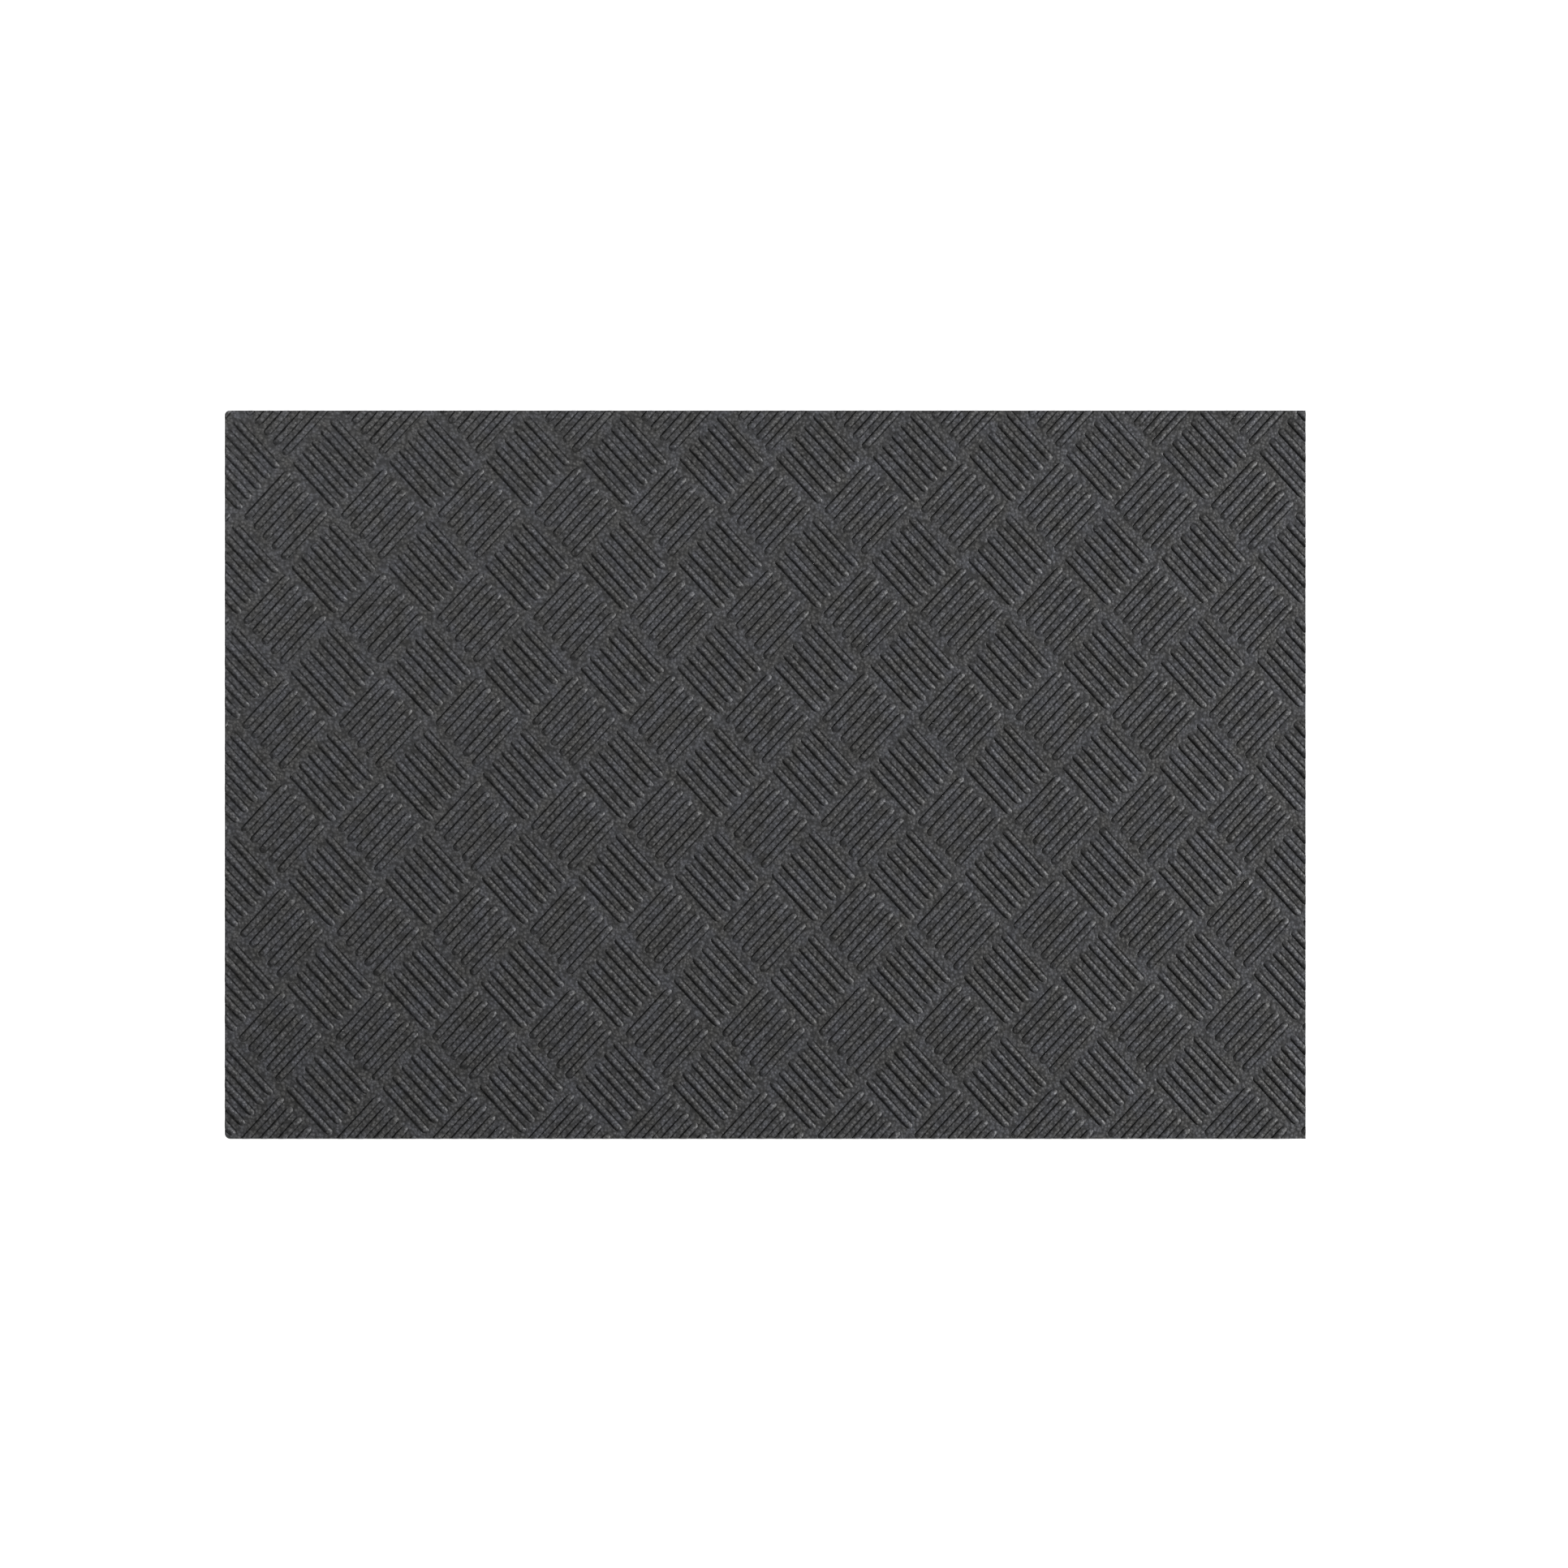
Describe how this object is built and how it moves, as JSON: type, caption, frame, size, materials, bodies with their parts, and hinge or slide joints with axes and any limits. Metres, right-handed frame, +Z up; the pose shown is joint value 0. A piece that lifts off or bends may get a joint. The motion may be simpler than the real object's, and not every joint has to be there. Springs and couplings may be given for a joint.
{
  "type": "door mat",
  "caption": "Rectangular laminated door mat with a raised five-bar tread face, cut flush at its edges, over a foam core and a dimpled non-slip backing.",
  "frame": {"origin": "on the floor, under the middle of the mat", "axes": "+X along the mat's length, towards its two square corners; +Y along its width; +Z up, from the backing to the tread"},
  "size_m": [0.6, 0.4044, 0.0093],
  "materials": {
    "tread_face": "satin",
    "scrim_yarn": "matte",
    "bond_film": "satin",
    "core_foam": "matte",
    "grip_rubber": "matte"
  },
  "bodies": {
    "root": {"tread_sheet": "tread_face", "reinforcing_scrim": "scrim_yarn", "upper_bond_film": "bond_film", "foam_core": "core_foam", "lower_bond_film": "bond_film", "grip_backing": "grip_rubber"}
  },
  "joints": []
}
